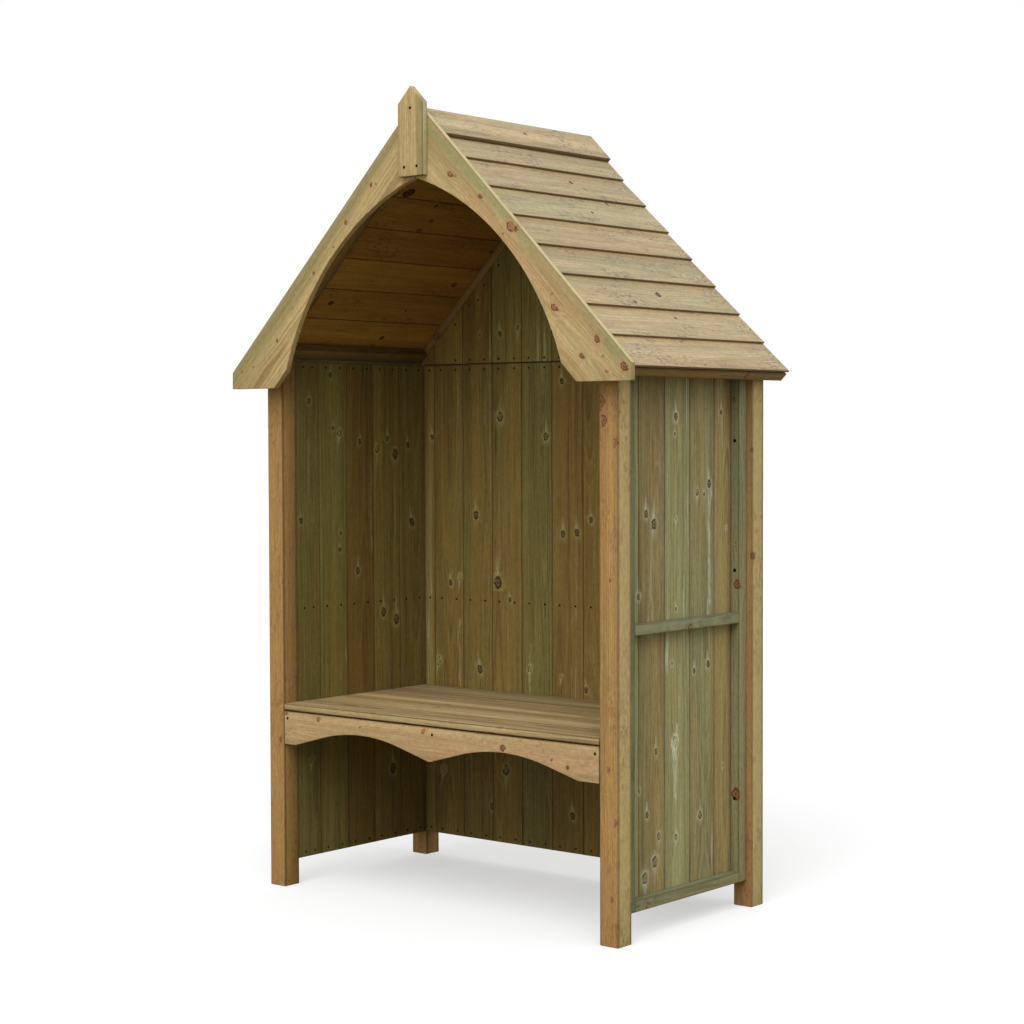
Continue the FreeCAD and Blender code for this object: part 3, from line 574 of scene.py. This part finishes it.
# Knots seen in the photograph, by node: place along and across the grain on the frame's own axes in
# metres, on a post or a stile its depth too, and the radius in millimetres.
FACE, SIDE, STILE_EDGE = -0.3065, 0.606, 0.2475
KNOTS = {
    "right_bargeboard": [
        (-1.27, 1.44, 7), (-1.155, 1.465, 5), (-1.025, 1.48, 13), (-0.785, 1.43, 8),
        (-0.635, 1.465, 7), (-0.64, 1.405, 6), (-0.53, 1.475, 9), (-0.56, 1.43, 4),
    ],
    "left_bargeboard": [
        (-1.24, 1.46, 4), (-1.11, 1.46, 5), (-0.935, 1.455, 4), (-0.71, 1.43, 4),
        (-0.555, 1.47, 4),
    ],
    "apron": [
        (-0.54, 0.485, 5), (-0.415, 0.48, 7), (-0.03, 0.48, 8), (-0.26, 0.47, 3), (0.24, 0.46, 8),
        (0.45, 0.43, 5), (0.4, 0.445, 4),
    ],
    "right_front_post": [
        (1.335, 0.556, FACE, 13), (1.29, 0.566, FACE, 9), (1.235, 0.6, FACE, 7),
        (1.065, 0.577, FACE, 4), (0.98, 0.595, FACE, 3), (0.9, 0.583, FACE, 3),
        (0.436, 0.578, FACE, 5), (0.308, 0.6, FACE, 6), (0.19, 0.578, FACE, 6),
        (0.118, 0.588, FACE, 5),
    ],
    "left_front_post": [
        (1.353, 0.541, FACE, 4), (1.16, 0.52, FACE, 5), (0.85, 0.546, FACE, 4),
        (0.41, 0.562, FACE, 5), (0.385, 0.52, FACE, 4), (0.31, 0.559, FACE, 5),
    ],
    "right_rear_post": [
        (1.306, SIDE, 0.265, 6), (1.214, SIDE, 0.283, 5), (0.934, SIDE, 0.29, 8),
        (0.846, SIDE, 0.255, 5), (0.169, SIDE, 0.267, 6), (0.1, SIDE, 0.277, 4),
    ],
    "right_wall_boards": [
        (1.057, -0.129, 6), (1.03, -0.095, 8), (0.85, -0.16, 5), (0.765, -0.12, 5), (1.3, 0.0, 6),
        (1.256, -0.004, 3), (1.04, 0.0, 3), (0.81, 0.0, 3), (1.126, 0.149, 6), (1.105, 0.095, 5),
        (1.1, 0.126, 3), (1.313, 0.204, 4), (1.011, 0.228, 3), (0.672, -0.017, 3),
        (0.644, 0.081, 4), (0.657, 0.145, 5), (0.47, -0.004, 9), (0.455, -0.087, 5),
        (0.364, -0.16, 4), (0.299, -0.126, 5), (0.266, 0.108, 6), (0.384, 0.214, 3),
        (0.224, 0.0, 5), (0.238, -0.075, 6), (0.175, -0.092, 9), (0.14, -0.135, 9),
    ],
    "left_wall_boards": [
        (1.276, -0.106, 4), (1.262, -0.08, 7), (1.351, -0.201, 5), (1.426, -0.116, 5),
        (1.236, 0.005, 5), (1.215, 0.076, 7), (1.245, 0.119, 5), (1.2, 0.153, 9),
        (1.226, 0.209, 5), (0.998, 0.225, 7), (0.865, -0.006, 6), (0.74, 0.1, 8),
        (0.715, 0.155, 9), (0.977, -0.076, 4), (0.93, -0.08, 4), (1.017, -0.235, 5),
        (0.277, 0.137, 9), (0.34, -0.2, 5),
    ],
    "back_wall_boards": [
        (1.306, -0.258, 8), (1.249, -0.088, 7), (1.021, -0.351, 7), (0.826, -0.268, 10),
        (0.779, -0.223, 4), (0.975, -0.027, 6), (0.98, 0.023, 6), (1.017, 0.072, 5),
        (1.406, -0.03, 5), (0.586, -0.5, 8), (0.571, -0.337, 7), (0.584, -0.149, 6),
        (0.538, 0.054, 5), (0.837, -0.413, 6), (0.82, -0.45, 5), (1.249, -0.52, 5),
        (0.57, -0.035, 4), (0.263, -0.48, 8), (0.283, -0.24, 9), (0.173, -0.293, 6),
        (0.177, 0.006, 6), (1.2, 0.3, 7), (0.7, 0.42, 5), (0.4, 0.33, 6), (1.0, 0.2, 5),
    ],
    "gable_boards": [
        (1.545, -0.257, 5), (1.56, -0.19, 5), (1.647, -0.34, 3), (1.545, -0.333, 3),
        (1.7, 0.1, 5), (1.56, 0.25, 5),
    ],
    "right_side_rear_stile": [
        (0.86, STILE_EDGE, 0.584, 9), (0.965, STILE_EDGE, 0.578, 5),
        (1.345, STILE_EDGE, 0.574, 5), (0.304, STILE_EDGE, 0.58, 12),
    ],
    "right_side_mid_rail": [(0.023, 0.764, 7)],
    "seat_board_1": [(-0.215, -0.3, 5), (0.232, -0.3, 5)],
    "right_roof_boards": [
        (0.103, -1.265, 6), (0.145, -1.243, 6), (0.195, -1.19, 5), (0.081, -1.14, 4),
        (0.063, -0.817, 8), (-0.076, -0.778, 5), (0.055, -0.73, 4), (0.05, -0.684, 4),
        (0.001, -0.55, 3), (-0.2, -1.04, 4), (0.25, -0.94, 5),
    ],
    "right_ridge_cap": [(0.047, -1.44, 5)],
    "left_roof_boards": [
        (-0.206, -1.229, 13), (-0.072, -1.198, 5), (-0.051, -1.145, 6), (-0.07, -1.106, 8),
        (0.276, -1.059, 6), (0.251, -0.985, 5), (0.22, -0.928, 8), (-0.236, -0.855, 6),
        (-0.217, -0.83, 7), (0.099, -0.818, 3), (0.078, -0.711, 6), (-0.104, -0.833, 4),
        (0.2, -0.6, 5), (-0.15, -1.4, 5),
    ],
}

# How far past a board's edge a knot still shows on it, and the knots that grow where none is
# listed: their sizes in millimetres and the most in a metre. A board without any has one far off.
KNOT_MARGIN = 3 * MM
KNOT_SIZES = (3, 4, 4, 5, 6, 7, 9)
MOST_KNOTS_PER_METRE = 4
FAR_OFF = 1

# How green, how pink and how light the boards are that the photograph shows, each found by a place
# across it.
TONES = {
    "right_wall_boards": [
        (-0.15, 0.35, 0.55, 0.2), (-0.03, 0.9, 0.2, 0.75), (0.09, 0.65, 0.4, 0.4),
        (0.18, 0.35, 0.7, 0.45), (0.25, 0.25, 0.6, 0.5),
    ],
    "left_wall_boards": [
        (-0.2, 0.9, 0.2, 0.12), (-0.1, 0.85, 0.25, 0.5), (0.0, 0.2, 0.75, 0.1),
        (0.12, 0.5, 0.5, 0.35), (0.22, 0.6, 0.4, 0.22),
    ],
    "back_wall_boards": [
        (-0.49, 0.4, 0.5, 0.31), (-0.4, 0.4, 0.5, 0.26), (-0.3, 0.5, 0.4, 0.11),
        (-0.2, 0.4, 0.5, 0.4), (-0.1, 0.85, 0.25, 0.32), (0.0, 0.35, 0.8, 0.36),
        (0.1, 0.35, 0.7, 0.42),
    ],
    "left_roof_boards": [(-1.15, 0.4, 0.6, 0.1), (-1.04, 0.1, 1.0, 0.0), (-0.94, 0.6, 0.3, 0.7)],
    "gable_boards": [(-0.3, 0.1, 1.0, 0.6), (-0.2, 0.9, 0.1, 0.65), (-0.1, 0.9, 0.1, 0.9)],
}

# Resin runs seen in the photograph: the place across the board, the top, the bottom, and how thick.
NO_RUN = (0.0, 1.0, 0.0, 0.0)
RUNS = {
    "right_wall_boards": [
        (-0.105, 1.02, 0.72, 0.4), (0.0, 0.52, 0.3, 0.6), (0.149, 1.135, 0.68, 0.85),
    ],
    "left_wall_boards": [(-0.206, 1.25, 0.95, 0.4), (0.05, 1.2, 0.9, 0.4)],
    "back_wall_boards": [
        (-0.415, 0.72, 0.5, 0.5), (-0.149, 0.66, 0.48, 0.6), (0.02, 1.0, 0.7, 0.3),
    ],
}

# What a timber's look has unless it says otherwise: colours as they look on a screen, how strongly
# the knots' tails and halos, the one side face painted with light or shade, and the green band
# along an edge show, and how ragged, how small and how filled the knots are.
PLAIN_LOOK = {
    "seam": (78, 58, 32), "resin": (150, 162, 146), "smudge": (112, 100, 86),
    "flank": (150, 136, 94), "scorch": (86, 62, 34),
    "tail": 0.0, "ringed": 0.6, "flank_cover": 0.0, "band": 0.0,
    "torn": 1.2, "small": 1.1, "solid": 0.3,
}


def palette(pale, deep, moss, rose, **more):
    """A timber's look, with the colours of its wood, the knots' eye, rim and halo, and the rest."""
    look = {**PLAIN_LOOK, "pale": pale, "deep": deep, "moss": moss, "rose": rose, **more}
    return {name: shade(*value) if isinstance(value, tuple) else value
            for name, value in look.items()}


def make_finishes():
    """The finishes, by the record's slots."""
    red_knot = {"eye": (150, 96, 62), "rim": (82, 46, 32), "torn": 2.2, "small": 1.15,
                "solid": 0.75}
    dark_knot = {"eye": (104, 80, 46), "rim": (26, 20, 13)}
    # The side colours are painted light: a painted highlight on the posts' outer sides and the
    # trim's top edges, painted shade on the roof boards' lower edges.
    post = palette((168, 132, 76), (112, 80, 42), (148, 134, 84), (166, 122, 78),
                   eye=(136, 92, 62), rim=(86, 54, 40), halo=(150, 110, 68), torn=2.4,
                   flank=(174, 158, 108), flank_cover=0.75, smudge=(104, 66, 38))
    wall = palette((160, 142, 92), (78, 66, 40), (148, 150, 106), (144, 120, 76),
                   eye=(126, 104, 66), rim=(34, 27, 17), halo=(176, 176, 142), tail=0.8,
                   resin=(180, 190, 172), seam=(36, 30, 17), smudge=(84, 72, 46), small=0.9,
                   ringed=0.8)
    frames = palette((141, 136, 97), (84, 78, 50), (114, 127, 101), (143, 121, 82),
                     eye=(150, 98, 58), rim=(84, 50, 32), halo=(140, 122, 82),
                     smudge=(84, 76, 50))
    rafter = palette((142, 116, 68), (90, 70, 38), (114, 102, 58), (134, 102, 62), **red_knot,
                     halo=(124, 98, 56))
    roof = palette((180, 163, 128), (112, 96, 69), (157, 153, 117), (178, 148, 115), **dark_knot,
                   halo=(160, 144, 110), seam=(88, 70, 40), flank=(88, 70, 44), flank_cover=0.7)
    trim = palette((190, 166, 118), (128, 104, 62), (140, 140, 94), (186, 146, 108), **red_knot,
                   halo=(170, 132, 90), flank=(190, 182, 136), flank_cover=0.7, band=1.1,
                   smudge=(130, 108, 70))
    seat = palette((180, 158, 112), (104, 82, 50), (146, 140, 96), (172, 138, 96), **red_knot,
                   halo=(156, 130, 88))
    bearer = palette((166, 142, 94), (104, 82, 48), (140, 134, 90), (160, 122, 82), **dark_knot,
                     halo=(146, 130, 90))
    apron = palette((196, 165, 119), (140, 112, 76), (148, 138, 98), (190, 150, 114), **red_knot,
                    halo=(178, 138, 92), smudge=(126, 110, 80))
    # Painted shade: how much of each colour is left of the faces turned to the room, darkened in
    # place of the room's shade.
    wall_room_shade = (0.72, 0.62, 0.35, 1.0)
    roof_room_shade = (0.89, 0.61, 0.22, 1.0)
    return {
        "posts": pine("post_pine", post, green=-0.1, pink=0.2, varied=0.4, rings=0.6, streaks=0.45,
                      smudges=0.5, flecks=0.5),
        "wall_boards": pine("wall_pine", wall, green=0.25, pink=0.2, varied=1.6, rings=0.65,
                            streaks=0.65, resin=0.6, edge=0.5, room_shade=wall_room_shade),
        "frames": pine("frame_pine", frames, green=0.5, pink=-0.2, varied=0.6),
        "rafters": pine("rafter_pine", rafter, green=0.1, pink=0.2, varied=0.6),
        "roof_boards": pine("roof_pine", roof, green=0.2, pink=0.2, varied=0.6, rings=0.5,
                            streaks=0.6, smudges=0.9, flecks=0.6, room_shade=roof_room_shade),
        "trim_boards": pine("trim_pine", trim, green=0.0, pink=0.25, varied=0.3, streaks=0.8),
        "seat_boards": pine("seat_pine", seat, green=0.2, pink=0.2, varied=0.8, streaks=1.4,
                            flecks=0.6, edge=0.9),
        "bearers": pine("bearer_pine", bearer, green=0.3, pink=0.1),
        "apron": pine("apron_pine", apron, green=0.1, pink=0.35, varied=0.3, rings=0.5, streaks=0.4,
                      smudges=0.5, flecks=0.5),
    }


# How each timber lies: the way of its grain, across its wide face, and into it.
STANDING_ACROSS = (UP, ACROSS, BACKWARD)
STANDING_ALONG = (UP, BACKWARD, ACROSS)
LYING_ACROSS = (ACROSS, UP, BACKWARD)
LYING_ALONG = (BACKWARD, UP, ACROSS)
RIGHT_SLOPE = (DOWN_SLOPE, OUT_OF_SLOPE, BACKWARD)
RIGHT_COURSE = (BACKWARD, DOWN_SLOPE, OUT_OF_SLOPE)

LIE = {
    "front_post": STANDING_ACROSS, "rear_post": STANDING_ACROSS,
    "side_front_stile": STANDING_ALONG, "side_rear_stile": STANDING_ALONG,
    "side_bottom_rail": LYING_ALONG, "side_mid_rail": LYING_ALONG, "side_top_rail": LYING_ALONG,
    "wall_boards": STANDING_ALONG, "back_stile": STANDING_ACROSS,
    "back_bottom_rail": LYING_ACROSS, "back_mid_rail": LYING_ACROSS, "back_top_rail": LYING_ACROSS,
    "back_wall_boards": STANDING_ACROSS, "gable_boards": STANDING_ACROSS,
    "gable_base_rail": LYING_ACROSS, "gable_diagonal": RIGHT_SLOPE,
    "front_rafter": RIGHT_SLOPE, "gable_rafter": RIGHT_SLOPE, "verge_rafter": RIGHT_SLOPE,
    "eave_rail": RIGHT_COURSE, "wall_plate": RIGHT_COURSE, "roof_boards": RIGHT_COURSE,
    "ridge_cap": RIGHT_COURSE, "bargeboard": RIGHT_SLOPE, "finial": STANDING_ACROSS,
    "side_bearer": LYING_ALONG, "back_bearer": LYING_ACROSS, "middle_bearer": LYING_ALONG,
    "apron": LYING_ACROSS,
}

# How far the timbers' edges are eased, in millimetres, by the record's slots.
ROUNDING = {"posts": 2.0, "seat_boards": 2.0, "trim_boards": 1.5, "apron": 1.5, "roof_boards": 1.5,
            "wall_boards": 1.6}
PLAIN_ROUNDING = 1.0


def lie_of(node):
    """The axes of a node's timber, turned over for the left-hand side."""
    plain = node.removeprefix("left_").removeprefix("right_")
    if plain.startswith("seat_board"):
        return (ACROSS, BACKWARD, UP)
    axes = LIE[plain]
    if node.startswith("left_"):
        axes = tuple(Vector((-axis.x, axis.y, axis.z)) for axis in axes)
    return axes


def dress_timbers():
    """Every node gets its finish: timbers as eased pieces, fixings as they are but for the wall
    nails' heads, which stand out a little."""
    finishes = make_finishes()
    zinc, filled = old_zinc("old_zinc"), old_zinc("filled_heads", filled=True)
    for seed, entry in enumerate(frame["record"]["subparts"]):
        node, slot = entry["node"], entry["material_slot"]
        if slot == "fixings":
            fixing = frame["nodes"][node]
            fixing.data.materials.clear()
            fixing.data.materials.append(filled if node == "trim_screws" else zinc)
            fixing.modifiers.new("joined_up", "WELD").merge_threshold = JOINED
            if "wall_nails" in node:
                swell = fixing.modifiers.new("driven_in", "DISPLACE")
                swell.mid_level, swell.strength = 0.0, HEAD_SWELL
            continue
        radius = ROUNDING.get(slot, PLAIN_ROUNDING) * MM
        timber(node, lie_of(node), finishes[slot], radius, seed)


def make_floor():
    """A plain white floor that keeps the shadow. It throws back only a lawn's light."""
    bpy.ops.mesh.primitive_plane_add(size=FLOOR_SIZE)
    floor = bpy.context.object
    floor.name = "floor"
    paint = Paint(bpy.data.materials.new("white_floor"))
    seen = paint.node("LightPath", {}, {}, "Is Camera Ray")
    matte = paint.node("BsdfDiffuse", {}, {"Color": paint.mix(shade(*LAWN), shade(*PAPER), seen)})
    glow = paint.node("Emission", {}, {"Color": WHITE, "Strength": seen * PAPER_GLOW})
    both = paint.node("AddShader", {}, {0: matte, 1: glow})
    paint.node("OutputMaterial", {}, {"Surface": both})
    floor.data.materials.append(paint.owner)
    floor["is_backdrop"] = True


def make_sky():
    """White surroundings, dimmer as a light than they look."""
    world = bpy.data.worlds.new("studio")
    bpy.context.scene.world = world
    paint = Paint(world)
    white = sum(paint.node("LightPath", {}, {}, f"Is {kind} Ray")
                for kind in ("Camera", "Glossy", "Transmission"))
    strength = white.low(1.0) * (1 - SKY_LIGHT) + SKY_LIGHT
    sky = paint.node("Background", {}, {"Color": WHITE, "Strength": strength})
    paint.node("OutputWorld", {}, {"Surface": sky})


def make_lamps():
    """Every lamp is a sun, turned to its bearing and sunk to its height."""
    for name, (strength, spread, bearing, height) in LAMPS.items():
        lamp = bpy.data.lights.new(name, "SUN")
        lamp.energy = strength
        lamp.angle = math.radians(spread)
        sun = bpy.data.objects.new(name, lamp)
        turn = Matrix.Rotation(math.radians(bearing), 4, "Z")
        sun.matrix_world = turn @ Matrix.Rotation(math.radians(90 - height), 4, "X")
        bpy.context.scene.collection.objects.link(sun)


def make_camera():
    """The camera, at the photograph's view."""
    data = bpy.data.cameras.new("camera")
    data.lens = CAMERA_LENS
    data.sensor_width = CAMERA_SENSOR
    camera = bpy.data.objects.new("camera", data)
    turn = Matrix.Rotation(math.radians(CAMERA_TURN), 4, "Z")
    tilt = Matrix.Rotation(math.radians(90 - CAMERA_TILT), 4, "X")
    roll = Matrix.Rotation(math.radians(CAMERA_ROLL), 4, "Z")
    camera.matrix_world = Matrix.Translation(CAMERA_PLACE) @ turn @ tilt @ roll
    bpy.context.scene.collection.objects.link(camera)
    bpy.context.scene.camera = camera


dress_timbers()
make_floor()
make_sky()
make_lamps()
make_camera()
bpy.context.scene.view_settings.view_transform = "Standard"

[[list(corner) for corner in box] for box in (cad_box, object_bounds())]
